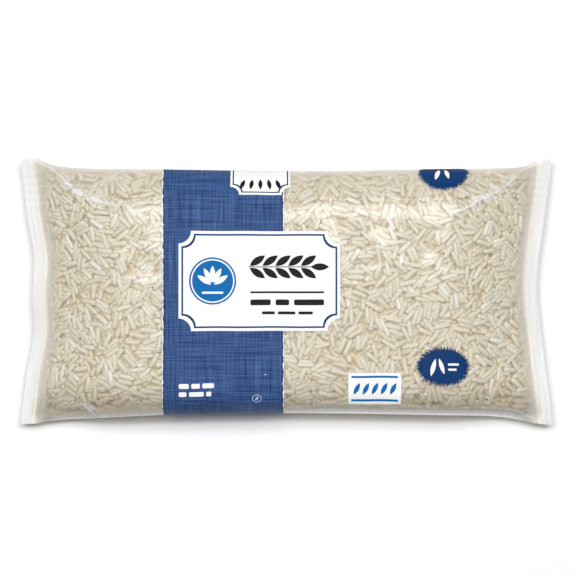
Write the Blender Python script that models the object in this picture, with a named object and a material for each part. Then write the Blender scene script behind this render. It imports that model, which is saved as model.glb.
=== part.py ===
# A sealed clear pillow bag of long grain rice, lying on its back on a flat surface.
# The film is a tube: it is crimped flat at both ends, and lapped in a seam along its back.
# Metres, +Z up, +X along the bag. The origin is the middle of the footprint.

import math

import bmesh
import bpy
import numpy as np

# Driving dimensions of the whole bag
PACK_LENGTH = 0.2792  # from seal tip to seal tip, at the corners
SEAL_SPAN = 0.1406  # length of each end seal, across the bag
BODY_WIDTH = 0.1306  # the filled body, near its ends
WAIST = 0.0032  # how much narrower it is at mid length
NEAR_SPREAD = 0.0007  # the settled filling pushes the near side out by this much
BODY_HEIGHT = 0.0405  # flat back to crown
FOLD_HEIGHT = 0.0178  # widest level of the body's sides, on average
FOLD_LEAN = 0.0040  # the far fold rides this much higher at full span, and the near one lower
FOLD_LEAN_REACH = 0.0300
CROWN = 0.0010  # how far the middle of the top domes above its shoulders

# End seals
SEAL_DEPTH = 0.0075
SEAL_THICKNESS = 0.0009
SEAL_HEIGHT = 0.0098
SEAL_BOW = 0.0069  # how far the filling draws the middle of a seal inwards
BOW_POWER = 1.7
BOW_REACH = 0.080  # the bow dies out this far from the seal
BOW_MIDDLE_LEFT = 0.0
BOW_MIDDLE_RIGHT = 0.0050
WRINKLE_LEFT = (0.0008, 0.0070, -1.29)  # height, pitch and phase of the waves in a seal's edge
WRINKLE_RIGHT = (0.0005, 0.0105, 1.00)
SEAL_WAVE = 0.0014  # the same seals' slow waves up and down
SEAL_WAVE_PITCH = 0.0150
SEAL_WAVE_LEFT, SEAL_WAVE_RIGHT = 1.1, -0.5
SEAL_WAVE_REACH = 0.0160
EAR_LIFT_LEFT = 0.0030  # the far corners stand up a little
EAR_LIFT_RIGHT = 0.0022
SEAL_HANG = 0.0016  # how far a seal droops to its outer edge
LEVEL_REACH = 0.0550  # the folds climb from the seals to their full level over this
CRIMP_LINES = 7  # lines along a seal, the last of them its cut edge
CRIMP_RELIEF = 0.00028

# The corners, as (far, near) at the left end and at the right one
EAR_FLARES = ((0.0085, 0.0140), (0.0068, 0.0140))  # how far from the seal the ears narrow to the body
INNER_TRIMS = ((0.0001, 0.0008), (0.0016, 0.0008))  # short of half the span, at a seal's inner line
OUTER_TRIMS = ((0.0010, 0.0005), (0.0000, 0.0000))  # the same, at its outer edge
FLARE_POWER = 1.5
TUCK_BULGE = 0.0013  # the film stands out beside the tuck in the left end's near side
TUCK_AT = -0.1040
TUCK_REACH = 0.0260

# Width and reach of the rounded sides, above and below the widest level
SHOULDER_FAR = 0.0250  # +Y side, where the filling slopes gently
SHOULDER_NEAR = 0.0142  # -Y side, where it has settled
HEEL_FAR = 0.0215
HEEL_NEAR = 0.0150
END_SLOPE_TOP = 0.0440
END_SLOPE_BACK = 0.0330
LEAN_POWER = 0.38  # how far the sides lean back next to the seals
LEAN_SPREAD = 0.0105
LEAN_REACH = 0.0500
HIP_SHARPNESS = 7.0
SWELL_POWER = 2.2

# Relief of the film over the filling
SHOULDER_RIPPLE = 0.0006
RIPPLE_PITCH = 0.0290
RIPPLE_WIDTH_FAR = 0.010
RIPPLE_WIDTH_NEAR = 0.008
RIPPLE_SHARE_NEAR = 0.6
GRAIN_BUMP = 0.00022  # grains pressing on the film, a grain's length apart
GRAIN_BUMP_START = 0.004  # clear of the end seals
GRAIN_BUMP_REACH = 0.014
GRAIN_SEED = 7

# Seam along the back: a lapped strip between two shallow grooves
BACK_SEAM_WIDTH = 0.0110
GROOVE_WIDTH = 0.0014
GROOVE_DEPTH = 0.00035

# Printed fields on the front, as (low, high) along the bag and across it
BAND = (-0.0633, -0.0018)
PANEL_X = (-0.0560, 0.0275)
PANEL_Y = (-0.0200, 0.0310)
TAG_X = (0.0320, 0.0593)
TAG_Y = (-0.0580, -0.0415)
SPOT_X = (0.0680, 0.0968)
SPOT_Y = (-0.0480, -0.0285)

# Grid pitch of the modelled film
PITCH_ALONG = 0.0046
PITCH_ACROSS = 0.0044
END_PITCH = 0.0040
FINE_STEPS = 240  # points on one half section before it is spaced out evenly
MERGE = 2e-6  # the two faces share their rims to within this

HALF_LENGTH = PACK_LENGTH / 2
FILLED_HALF = HALF_LENGTH - SEAL_DEPTH
HALF_SPAN = SEAL_SPAN / 2
HALF_BODY = BODY_WIDTH / 2
SEAL_LOOK_FROM = FILLED_HALF - SEAL_BOW - 0.002  # the milky film of a seal ends here
SEAL_LOOK_TO = SEAL_HEIGHT + 0.004
FRONT, BACK = 1, -1


# How full a swell is at a distance from where it starts: 0 there, 1 from reach on
def swell(distance, reach):
    share = np.clip(distance / reach, 0.0, 1.0)
    return 1.0 - (1.0 - share) ** SWELL_POWER


# The side of a section: 0 at the fold, 1 from reach on. It stands upright at mid length,
# as a quarter round does, and leans near the seals, where the tube is pressed flat.
def side_round(distance, reach, inside):
    lean = 1.0 - smooth(inside / LEAN_REACH)
    share = 1.0 - np.clip(distance / (reach + LEAN_SPREAD * lean), 0.0, 1.0)
    return (1.0 - share**SWELL_POWER) ** (0.5 + LEAN_POWER * lean)


# The lesser of two swells, rounded where they meet, which makes the hips at the corners
def lesser(a, b):
    a = np.maximum(a, 1e-3)
    b = np.maximum(b, 1e-3)
    return (a**-HIP_SHARPNESS + b**-HIP_SHARPNESS - 1.0) ** (-1.0 / HIP_SHARPNESS)


def smooth(t):
    t = np.clip(t, 0.0, 1.0)
    return t * t * (3.0 - 2.0 * t)


# Distance from the end seal's inner line, towards the middle of the bag
def from_seal(station):
    return FILLED_HALF - abs(station)


# How wide the bag is to one side of its middle line: a waist, ears at the corners and one bulge
def half_width(station, side):
    end = 0 if station < 0 else 1
    edge = 0 if side > 0 else 1
    inside = max(from_seal(station), 0.0)
    flare = math.exp(-((inside / EAR_FLARES[end][edge]) ** FLARE_POWER))
    waist = WAIST / 2 * math.cos(math.pi / 2 * min(abs(station) / FILLED_HALF, 1.0)) ** 2
    outwards = max(-from_seal(station), 0.0) / SEAL_DEPTH
    trim = INNER_TRIMS[end][edge] * (1.0 - outwards) + OUTER_TRIMS[end][edge] * outwards
    width = HALF_BODY - waist + (HALF_SPAN - trim - HALF_BODY) * flare
    if side < 0:
        width += TUCK_BULGE * math.exp(-(((station - TUCK_AT) / TUCK_REACH) ** 2)) * (1.0 - flare)
        width += NEAR_SPREAD * (1.0 - flare)
    return width


# Where a station's line runs, once the filling has drawn the seals inwards
def place_along(station, y):
    left = station < 0
    middle = BOW_MIDDLE_LEFT if left else BOW_MIDDLE_RIGHT
    height, pitch, phase = WRINKLE_LEFT if left else WRINKLE_RIGHT
    away = (y - middle) / np.where(y > middle, HALF_SPAN - middle, HALF_SPAN + middle)
    across = np.clip(1.0 - away**2, 0.0, 1.0) ** BOW_POWER
    drawn = smooth(1.0 - from_seal(station) / BOW_REACH)
    wrinkle = height * np.sin(y / pitch + phase) * across
    return station - np.sign(station) * (SEAL_BOW * across * drawn + wrinkle * drawn**3)


# Level of the folds and of the seals, with the slow waves of a seal that hangs free
def fold_level(station, y):
    inside = max(from_seal(station), 0.0)
    level = SEAL_HEIGHT + (FOLD_HEIGHT - SEAL_HEIGHT) * smooth(inside / LEVEL_REACH)
    left = station < 0
    wave = SEAL_WAVE * np.sin(y / SEAL_WAVE_PITCH + (SEAL_WAVE_LEFT if left else SEAL_WAVE_RIGHT))
    ear_lift = (EAR_LIFT_LEFT if left else EAR_LIFT_RIGHT) * np.clip(y / HALF_SPAN, 0.0, 1.0) ** 2
    hang = SEAL_HANG * smooth(-from_seal(station) / SEAL_DEPTH)
    return level + (wave + ear_lift) * math.exp(-inside / SEAL_WAVE_REACH) - hang


# How much higher the film lies than that level at the far fold, and lower at the near one
def fold_lean(station, y):
    return FOLD_LEAN * y / HALF_SPAN * smooth(from_seal(station) / FOLD_LEAN_REACH)


# How full the film is over the folds (FRONT) or under them (BACK), across one station
def film_swell(station, y, half_far, half_near, face):
    inside = from_seal(station)
    side = np.where(y > 0, half_far - y, half_near + y)
    if face == FRONT:
        reach = np.where(y > 0, SHOULDER_FAR, SHOULDER_NEAR)
        end = swell(inside, END_SLOPE_TOP)
    else:
        reach = np.where(y > 0, HEEL_FAR, HEEL_NEAR)
        end = swell(inside, END_SLOPE_BACK)
    return lesser(end, side_round(side, reach, inside))


# Height of the film on one face, across one station
def crest(station, y, face):
    far, near = half_width(station, 1), half_width(station, -1)
    level = fold_level(station, y)
    if from_seal(station) <= 0.0:
        return level + face * SEAL_THICKNESS / 2
    full = film_swell(station, y, far, near, face)
    level = level + fold_lean(station, y) * (1.0 - full)
    if face == BACK:
        return level * (1.0 - full)
    dome = CROWN * smooth(full) * np.cos(np.pi * y / BODY_WIDTH)
    shoulder = np.exp(-(((far - y) - SHOULDER_FAR) / RIPPLE_WIDTH_FAR) ** 2)
    shoulder += RIPPLE_SHARE_NEAR * np.exp(-(((near + y) - SHOULDER_NEAR) / RIPPLE_WIDTH_NEAR) ** 2)
    ripple = SHOULDER_RIPPLE * shoulder * math.sin(station / RIPPLE_PITCH * 2 * math.pi) * smooth(full)
    return level + (BODY_HEIGHT - FOLD_HEIGHT - CROWN) * full + dome + ripple


# Level of the two folds themselves
def rim_level(station, y):
    return fold_level(station, y) + fold_lean(station, y)


# One half section of the film, from the -Y fold to the +Y fold, as points at even arc steps
def half_section(station, shares, face):
    across = np.sin(np.linspace(-math.pi / 2, math.pi / 2, FINE_STEPS))
    far, near = half_width(station, 1), half_width(station, -1)
    y = np.where(across > 0, across * far, across * near)
    z = crest(station, y, face)
    z[[0, -1]] = rim_level(station, y[[0, -1]])
    run = np.concatenate([[0.0], np.cumsum(np.hypot(np.diff(y), np.diff(z)))])
    y = np.interp(shares * run[-1], run, y)
    z = np.interp(shares * run[-1], run, z)
    z[[0, -1]] = rim_level(station, y[[0, -1]])
    return np.stack([place_along(station, y), y, z], axis=1)


# Numbers from low to high that pass through every mark, about a pitch apart
def steps_through(marks, pitch):
    marks = sorted(marks)
    out = [marks[0]]
    for low, high in zip(marks, marks[1:]):
        count = max(1, round((high - low) / pitch))
        out += [low + (high - low) * (i + 1) / count for i in range(count)]
    return np.array(out)


def station_list():
    inner = FILLED_HALF - END_SLOPE_TOP
    marks = [-inner, inner, *BAND, *PANEL_X, *TAG_X, *SPOT_X]
    middle = steps_through([m for m in marks if abs(m) <= inner], PITCH_ALONG)
    slope = steps_through([inner, FILLED_HALF], END_PITCH)[1:]
    ribs = FILLED_HALF + SEAL_DEPTH * np.arange(1, CRIMP_LINES + 1) / CRIMP_LINES
    end = np.concatenate([slope, ribs])
    return np.concatenate([-end[::-1], middle, end])


# Shares of the front's arc at mid length, so that lines pass through the printed fields
def share_list():
    fine = np.linspace(0.0, 1.0, FINE_STEPS)
    section = half_section(0.0, fine, FRONT)
    flat_marks = [*PANEL_Y, *TAG_Y, *SPOT_Y]
    marks = np.interp(flat_marks, section[:, 1], fine)
    run = np.hypot(np.diff(section[:, 1]), np.diff(section[:, 2])).sum()
    return steps_through([0.0, *marks, 1.0], PITCH_ACROSS / run)


# The same count of shares for the back, with three of its lines on each seam groove
def back_shares(count):
    fine = np.linspace(0.0, 1.0, FINE_STEPS)
    y = half_section(0.0, fine, BACK)[:, 1]
    seam, groove = BACK_SEAM_WIDTH / 2, GROOVE_WIDTH / 2
    lines = [s * seam + o for s in (-1, 1) for o in (-groove, 0.0, groove)]
    shares = np.interp(lines, y, fine)
    beside = count - len(shares)
    low = np.linspace(0.0, shares[0], beside // 2 + 1)[:-1]
    high = np.linspace(shares[-1], 1.0, beside - beside // 2 + 1)[1:]
    return np.concatenate([low, shares, high]), len(low)


# Crimp ribs lie along the seal, every second line raised
def add_crimp(points, stations):
    for i, station in enumerate(stations):
        rank = round(-from_seal(station) / SEAL_DEPTH * CRIMP_LINES)
        if 0 < rank < CRIMP_LINES:
            points[i, 1:-1, 2] += CRIMP_RELIEF * (1 if rank % 2 else -1)


# The film sags a little between grains, so the filled front is never quite smooth
def add_grain_bumps(points, stations, random):
    strength = smooth((from_seal(stations) - GRAIN_BUMP_START) / GRAIN_BUMP_REACH)[:, None]
    bumps = random.uniform(-1.0, 1.0, points.shape[:2]) * GRAIN_BUMP * strength
    run = np.gradient(points[:, :, 1], axis=1)
    rise = np.gradient(points[:, :, 2], axis=1)
    step = np.hypot(run, rise)
    points[:, 2:-2, 2] += (bumps * run / step)[:, 2:-2]
    points[:, 2:-2, 1] -= (bumps * rise / step)[:, 2:-2]


# Two grooves beside the lapped seam, each on the middle one of its three lines
def add_seam_grooves(points, first):
    for line in (first + 1, first + 4):
        points[1:-1, line, 2] += GROOVE_DEPTH


# A grid of faces through rows of points
def sheet(points):
    mesh = bmesh.new()
    rows, columns = points.shape[:2]
    bmesh.ops.create_grid(mesh, x_segments=rows - 1, y_segments=columns - 1, size=1.0)
    mesh.verts.ensure_lookup_table()
    order = sorted(mesh.verts, key=lambda v: (round(v.co.x, 5), round(v.co.y, 5)))
    for vert, place in zip(order, points.reshape(-1, 3)):
        vert.co = place
    return mesh


def material(name, colour, roughness):
    made = bpy.data.materials.new(name)
    made.use_nodes = True
    shader = made.node_tree.nodes["Principled BSDF"]
    shader.inputs["Base Color"].default_value = (*colour, 1.0)
    shader.inputs["Roughness"].default_value = roughness
    shader.inputs["Metallic"].default_value = 0.0
    made.diffuse_color = (*colour, 1.0)
    return made


def within(value, limits):
    return limits[0] < value < limits[1]


# Which material a face shows: the seals, the band all round, or a field on the front
def field_of(centre, on_front):
    if abs(centre.x) > SEAL_LOOK_FROM and centre.z < SEAL_LOOK_TO:
        return "seal"
    if on_front and within(centre.x, PANEL_X) and within(centre.y, PANEL_Y):
        return "label"
    if on_front and within(centre.x, TAG_X) and within(centre.y, TAG_Y):
        return "label"
    if on_front and within(centre.x, SPOT_X) and within(centre.y, SPOT_Y):
        return "spot"
    return "band" if within(centre.x, BAND) else "rice"


def build_bag():
    stations = station_list()
    shares = share_list()
    random = np.random.default_rng(GRAIN_SEED)
    lower, groove_line = back_shares(len(shares))
    front = np.stack([half_section(s, shares, FRONT) for s in stations])
    back = np.stack([half_section(s, lower, BACK) for s in stations])
    add_crimp(front, stations)
    add_crimp(back, stations)
    add_grain_bumps(front, stations, random)
    add_seam_grooves(back, groove_line)

    # The two faces share one rim: both long folds and both cut ends
    rim = front.copy()
    for row in (0, -1):
        rim[row, :, 2] = fold_level(stations[row], rim[row, :, 1])
        front[row] = rim[row]
        back[row] = rim[row]
    back[:, 0] = front[:, 0]
    back[:, -1] = front[:, -1]

    bag = sheet(front)
    layer = bag.faces.layers.int.new("front")
    for face in bag.faces:
        face[layer] = 1
    under = sheet(back)
    bmesh.ops.reverse_faces(under, faces=under.faces)
    carrier = bpy.data.meshes.new("back_face")
    under.to_mesh(carrier)
    under.free()
    bag.from_mesh(carrier)
    bpy.data.meshes.remove(carrier)
    bmesh.ops.remove_doubles(bag, verts=bag.verts, dist=MERGE)

    looks = {
        "rice": material("rice_in_clear_film", (0.68, 0.61, 0.48), 0.30),
        "seal": material("milky_sealed_film", (0.84, 0.84, 0.83), 0.25),
        "band": material("blue_printed_film", (0.051, 0.105, 0.258), 0.35),
        "label": material("white_printed_film", (0.92, 0.92, 0.92), 0.35),
        "spot": material("navy_printed_film", (0.015, 0.070, 0.205), 0.35),
    }
    names = list(looks)
    for face in bag.faces:
        face.material_index = names.index(field_of(face.calc_center_median(), face[layer] == 1))
    data = bpy.data.meshes.new("rice_bag")
    bag.to_mesh(data)
    bag.free()
    for name in names:
        data.materials.append(looks[name])
    data.shade_smooth()
    data.set_sharp_from_angle(angle=math.radians(50))
    node = bpy.data.objects.new("rice_bag", data)
    bpy.context.scene.collection.objects.link(node)


def main():
    for obj in list(bpy.data.objects):
        bpy.data.objects.remove(obj)
    build_bag()


main()
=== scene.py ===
import math

import bmesh
import bpy
import numpy as np
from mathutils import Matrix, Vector
from mathutils.bvhtree import BVHTree


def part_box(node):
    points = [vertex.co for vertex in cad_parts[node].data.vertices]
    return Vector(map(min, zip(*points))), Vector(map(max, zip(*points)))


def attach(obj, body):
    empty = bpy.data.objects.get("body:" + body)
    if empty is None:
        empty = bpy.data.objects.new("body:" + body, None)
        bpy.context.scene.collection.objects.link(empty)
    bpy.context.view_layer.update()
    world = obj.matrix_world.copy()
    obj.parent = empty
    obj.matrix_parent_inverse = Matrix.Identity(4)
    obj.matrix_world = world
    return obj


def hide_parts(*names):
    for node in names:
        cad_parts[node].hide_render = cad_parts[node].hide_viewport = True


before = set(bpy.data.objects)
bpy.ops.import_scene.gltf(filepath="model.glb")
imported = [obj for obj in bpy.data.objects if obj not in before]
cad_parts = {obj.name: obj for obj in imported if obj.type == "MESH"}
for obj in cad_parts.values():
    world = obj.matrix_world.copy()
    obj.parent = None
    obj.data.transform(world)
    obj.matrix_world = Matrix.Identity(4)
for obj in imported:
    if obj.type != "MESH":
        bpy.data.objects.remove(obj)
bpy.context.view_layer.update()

# A sealed clear bag of long grain rice on its back: film, printed fields, grains and a core.
# Everything is in metres, +X along the bag, +Z up.
low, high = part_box("rice_bag")
mm = 0.001

# the bag's form, as its solid has it
bagForm = dict(
    length=high[0] - low[0], sealSpan=high[1] - low[1], bodyWidth=0.1306, waist=0.0032,
    height=0.0405, foldHeight=0.0178, foldLean=0.0040, foldLeanReach=0.0300, crown=0.0010,
    sealDepth=0.0075, sealGap=0.0004, sealHeight=0.0098, levelReach=0.0550, hang=0.0016,
    sealBow=0.0069, bowPower=1.7, bowReach=0.080, bowMiddle=(0.0, 0.0050),
    wrinkle=((0.0008, 0.0070, -1.29), (0.0005, 0.0105, 1.00)),  # left and right: height, pitch and phase
    wave=0.0014, wavePitch=0.0150, wavePhase=(1.1, -0.5), waveReach=0.0160, earLift=(0.0030, 0.0022),
    # the corners, as (far, near) at the left end and at the right one
    ears=((0.0085, 0.0140), (0.0068, 0.0140)), flarePower=1.5,
    innerTrims=((0.0001, 0.0008), (0.0016, 0.0008)), outerTrims=((0.0010, 0.0005), (0.0, 0.0)),
    tuckBulge=0.0013, tuckAt=-0.1040, tuckReach=0.0260, nearSpread=0.0007,
    shoulderFar=0.0250, shoulderNear=0.0142, heelFar=0.0215, heelNear=0.0150,
    endTop=0.0440, endBack=0.0330, leanPower=0.38, leanSpread=0.0105, leanReach=0.0500, hip=7.0, swell=2.2,
    ripple=0.0006, ripplePitch=0.0290, rippleFar=0.010, rippleNear=0.008, rippleShare=0.6,
)
filledHalf = bagForm["length"] / 2 - bagForm["sealDepth"]
halfSpan = bagForm["sealSpan"] / 2


def smooth(t):
    t = np.clip(t, 0.0, 1.0)
    return t * t * (3.0 - 2.0 * t)


def swell(distance, reach):
    return 1.0 - (1.0 - np.clip(distance / reach, 0.0, 1.0)) ** bagForm["swell"]


# the side of a section, upright at mid length and leaning back near the seals
def sideRound(distance, reach, inside):
    lean = 1.0 - smooth(inside / bagForm["leanReach"])
    share = 1.0 - np.clip(distance / (reach + bagForm["leanSpread"] * lean), 0.0, 1.0)
    return (1.0 - share ** bagForm["swell"]) ** (0.5 + bagForm["leanPower"] * lean)


# the lesser of two swells, rounded where they meet at the hips
def lesser(a, b):
    k = bagForm["hip"]
    return (np.maximum(a, 1e-3) ** -k + np.maximum(b, 1e-3) ** -k - 1.0) ** (-1.0 / k)


def halfWidth(station, far):
    end = 0 if station < 0 else 1
    edge = 0 if far else 1
    inside = max(filledHalf - abs(station), 0.0)
    flare = math.exp(-((inside / bagForm["ears"][end][edge]) ** bagForm["flarePower"]))
    waist = bagForm["waist"] / 2 * math.cos(math.pi / 2 * min(abs(station) / filledHalf, 1.0)) ** 2
    outwards = max(abs(station) - filledHalf, 0.0) / bagForm["sealDepth"]
    trim = bagForm["innerTrims"][end][edge] * (1.0 - outwards) + bagForm["outerTrims"][end][edge] * outwards
    body = bagForm["bodyWidth"] / 2
    width = body - waist + (halfSpan - trim - body) * flare
    if not far:
        fromTuck = (station - bagForm["tuckAt"]) / bagForm["tuckReach"]
        width += bagForm["tuckBulge"] * math.exp(-(fromTuck**2)) * (1.0 - flare)
        width += bagForm["nearSpread"] * (1.0 - flare)
    return width


def placeAlong(station, y):
    end = 0 if station < 0 else 1
    middle = bagForm["bowMiddle"][end]
    height, pitch, phase = bagForm["wrinkle"][end]
    away = (y - middle) / np.where(y > middle, halfSpan - middle, halfSpan + middle)
    across = np.clip(1.0 - away**2, 0.0, 1.0) ** bagForm["bowPower"]
    drawn = smooth(1.0 - (filledHalf - abs(station)) / bagForm["bowReach"])
    wrinkle = height * np.sin(y / pitch + phase) * across
    return station - np.sign(station) * (bagForm["sealBow"] * across * drawn + wrinkle * drawn**3)


def foldLevel(station, y):
    end = 0 if station < 0 else 1
    inside = max(filledHalf - abs(station), 0.0)
    climb = (bagForm["foldHeight"] - bagForm["sealHeight"]) * smooth(inside / bagForm["levelReach"])
    wave = bagForm["wave"] * np.sin(y / bagForm["wavePitch"] + bagForm["wavePhase"][end])
    earLift = bagForm["earLift"][end] * np.clip(y / halfSpan, 0.0, 1.0) ** 2
    hang = bagForm["hang"] * smooth((abs(station) - filledHalf) / bagForm["sealDepth"])
    ruffle = (wave + earLift) * math.exp(-inside / bagForm["waveReach"])
    return bagForm["sealHeight"] + climb + ruffle - hang


# the far fold lies higher than the near one
def foldLean(station, y):
    share = smooth((filledHalf - abs(station)) / bagForm["foldLeanReach"])
    return bagForm["foldLean"] * y / halfSpan * share


def crest(station, y, front):
    far, near = halfWidth(station, True), halfWidth(station, False)
    level = foldLevel(station, y)
    inside = filledHalf - abs(station)
    if inside <= 0.0:
        return level + (0.5 if front else -0.5) * bagForm["sealGap"]
    side = np.where(y > 0, far - y, near + y)
    kind = "shoulder" if front else "heel"
    reach = (bagForm[kind + "Far"], bagForm[kind + "Near"])
    end = swell(inside, bagForm["endTop"] if front else bagForm["endBack"])
    full = lesser(end, sideRound(side, np.where(y > 0, *reach), inside))
    level = level + foldLean(station, y) * (1.0 - full)
    if not front:
        return level * (1.0 - full)
    dome = bagForm["crown"] * smooth(full) * np.cos(np.pi * y / bagForm["bodyWidth"])
    shoulder = np.exp(-(((far - y) - bagForm["shoulderFar"]) / bagForm["rippleFar"]) ** 2)
    fromNear = ((near + y) - bagForm["shoulderNear"]) / bagForm["rippleNear"]
    shoulder += bagForm["rippleShare"] * np.exp(-fromNear**2)
    ripple = bagForm["ripple"] * shoulder * math.sin(station / bagForm["ripplePitch"] * 2 * math.pi)
    rise = bagForm["height"] - bagForm["foldHeight"] - bagForm["crown"]
    return level + rise * full + dome + ripple * smooth(full)


# one half section, from the near fold to the far one, as points at even steps of arc
def halfSection(station, count, front):
    y = np.sin(np.linspace(-math.pi / 2, math.pi / 2, 300))
    y = np.where(y > 0, y * halfWidth(station, True), y * halfWidth(station, False))
    z = crest(station, y, front)
    z[[0, -1]] = foldLevel(station, y[[0, -1]]) + foldLean(station, y[[0, -1]])
    run = np.concatenate([[0.0], np.cumsum(np.hypot(np.diff(y), np.diff(z)))])
    steps = np.linspace(0.0, run[-1], count + 1)
    y, z = np.interp(steps, run, y), np.interp(steps, run, z)
    return np.stack([placeAlong(station, y), y, z], axis=1)


# The web of film: rows along the bag, columns round it from the seam at the back's middle
web = dict(pitch=0.00105, around=148, sealRows=12, crimpPitch=0.00135, crimpRelief=0.00003)

bodyRows = round(2 * filledHalf / web["pitch"])
sealSteps = np.arange(1, web["sealRows"] + 1) / web["sealRows"] * bagForm["sealDepth"]
stations = np.concatenate([
    -(filledHalf + sealSteps[::-1]), np.linspace(-filledHalf, filledHalf, bodyRows + 1),
    filledHalf + sealSteps,
])
rowCount = len(stations)
half = web["around"] // 2
front = slice(half, half + web["around"] + 1)
fromSeal = (filledHalf - np.abs(stations))[:, None]  # negative in the seals
farHalf = np.array([halfWidth(s, True) for s in stations])
nearHalf = np.array([halfWidth(s, False) for s in stations])


def buildWeb():
    tube = np.empty((rowCount, 2 * web["around"] + 1, 3))
    for i, station in enumerate(stations):
        above = halfSection(station, web["around"], True)
        below = halfSection(station, web["around"], False)
        if i in (0, rowCount - 1):  # the cut ends are welded shut
            above[:, 2] = below[:, 2] = foldLevel(station, above[:, 1])
            below[:, :2] = above[:, :2]
        below[0], below[-1] = above[0], above[-1]
        tube[i] = np.concatenate([below[half::-1], above[1:], below[-2:half - 1:-1]])
    sealed = np.abs(stations) - filledHalf
    ribs = np.sin(sealed / web["crimpPitch"] * 2 * math.pi) * web["crimpRelief"]
    tube[:, :, 2] += (ribs * (sealed > 0) * (sealed < bagForm["sealDepth"] - 1e-6))[:, None]
    return tube


# outward normals of a grid of points that closes on itself
def webNormals(tube):
    padded = np.concatenate([tube[:, -2:-1], tube, tube[:, 1:2]], axis=1)
    along = np.gradient(tube, axis=0)
    across = np.gradient(padded, axis=1)[:, 1:-1]
    normal = np.cross(along, across)
    return normal / np.maximum(np.linalg.norm(normal, axis=2, keepdims=True), 1e-12)


webPlace = buildWeb()
webNormal = webNormals(webPlace)
webX, webY, webZ = np.moveaxis(webPlace, 2, 0)
columnCount = webPlace.shape[1]
midRow = rowCount // 2
flatAround = np.concatenate([[0.0], np.cumsum(np.linalg.norm(np.diff(webPlace[midRow], axis=0), axis=1))])
flatAround -= np.interp(0.0, webY[midRow, front], flatAround[front])  # 0 on the middle of the front
print("web of film", rowCount, "x", columnCount)


# Depth under the film, read from a grid of cells through the whole bag
depthGrid = dict(pitch=0.0024, margin=0.006)


def buildDepth():
    rows = webPlace[::2, ::2]
    if (rowCount - 1) % 2:
        rows = np.concatenate([rows, webPlace[-1:, ::2]])
    count, columns = rows.shape[:2]
    index = np.arange(count * columns).reshape(count, columns)
    quads = np.stack([index[:-1, :-1], index[1:, :-1], index[1:, 1:], index[:-1, 1:]], axis=-1)
    tree = BVHTree.FromPolygons(rows.reshape(-1, 3).tolist(), quads.reshape(-1, 4).tolist())
    start = np.array(low) - depthGrid["margin"]
    counts = np.ceil((np.array(high) - start + depthGrid["margin"]) / depthGrid["pitch"]).astype(int) + 1
    depth = np.empty(counts)
    for i in range(counts[0]):
        for j in range(counts[1]):
            for k in range(counts[2]):
                point = Vector((start + np.array((i, j, k)) * depthGrid["pitch"]).tolist())
                place, normal, face, distance = tree.find_nearest(point)
                depth[i, j, k] = distance if (point - place).dot(normal) < 0 else -distance
    slope = np.stack(np.gradient(depth, depthGrid["pitch"]), axis=-1)
    return start, np.concatenate([depth[..., None], slope], axis=-1)


depthStart, depthField = buildDepth()


# depth under the film at each point, and the way inwards there
def depthAt(points):
    cell = (points - depthStart) / depthGrid["pitch"]
    cell = np.clip(cell, 0.0, np.array(depthField.shape[:3]) - 1.001)
    base = cell.astype(int)
    part = cell - base
    total = 0.0
    for dx in (0, 1):
        for dy in (0, 1):
            for dz in (0, 1):
                weight = np.abs(1 - dx - part[:, 0]) * np.abs(1 - dy - part[:, 1])
                weight = weight * np.abs(1 - dz - part[:, 2])
                corner = depthField[base[:, 0] + dx, base[:, 1] + dy, base[:, 2] + dz]
                total = total + weight[:, None] * corner
    inwards = total[:, 1:] / np.maximum(np.linalg.norm(total[:, 1:], axis=1, keepdims=True), 1e-9)
    return total[:, 0], inwards


print("depth field", depthField.shape[:3])

# The grains: how many, how large, and how they settle against the film
rice = dict(
    count=12400, length=8.7 * mm, spread=0.5 * mm, shortest=6.7 * mm, longest=9.3 * mm,
    width=2.46 * mm, thickness=1.88 * mm, girthSpread=0.05, plumper=1.07,
    kindShares=(0.34, 0.22, 0.24, 0.20), broken=0.05, brokenLength=5.0 * mm,
    layerDepth=(1.05 * mm, 2.9 * mm, 4.7 * mm), layerSpread=0.25 * mm, roomy=0.85, tilt=0.10,
    layerShare=(0.41, 0.37, 0.22), patch=0.019, turn=0.55, settle=64, press=0.035 * mm, seed=21,
    tone=(0.55, 0.22), freeNear=4.6 * mm, freeFar=1.6 * mm,  # empty film beside the folds
    shadeFrom=2.0 * mm, shadeReach=1.6 * mm,  # grains below this depth take the deep tone, a painted shade
    tooDeep=0.24,  # grains that still share more than this of their thickness are left out
    cell=9.8 * mm, touch=0.4 * mm,  # cells a little over the longest grain, and the gap that still counts
    slim=0.96, tipIn=0.8, calm=0.35, lastRounds=14,  # how a grain counts as a rod, and how soon it rests
)
kinds = ("slender", "plump", "curved", "tapered", "broken")

# the lines along the folds that the grains stay inside
farLimit = farHalf - rice["freeFar"]
nearLimit = rice["freeNear"] * (0.35 + 0.65 * smooth((stations + 30 * mm) / (60 * mm))) - nearHalf


def keepOffFolds(points, radius):
    low = np.interp(points[:, 0], stations, nearLimit) + radius
    high = np.interp(points[:, 0], stations, farLimit) - radius
    points[:, 1] = points[:, 1].clip(low, high)


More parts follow.
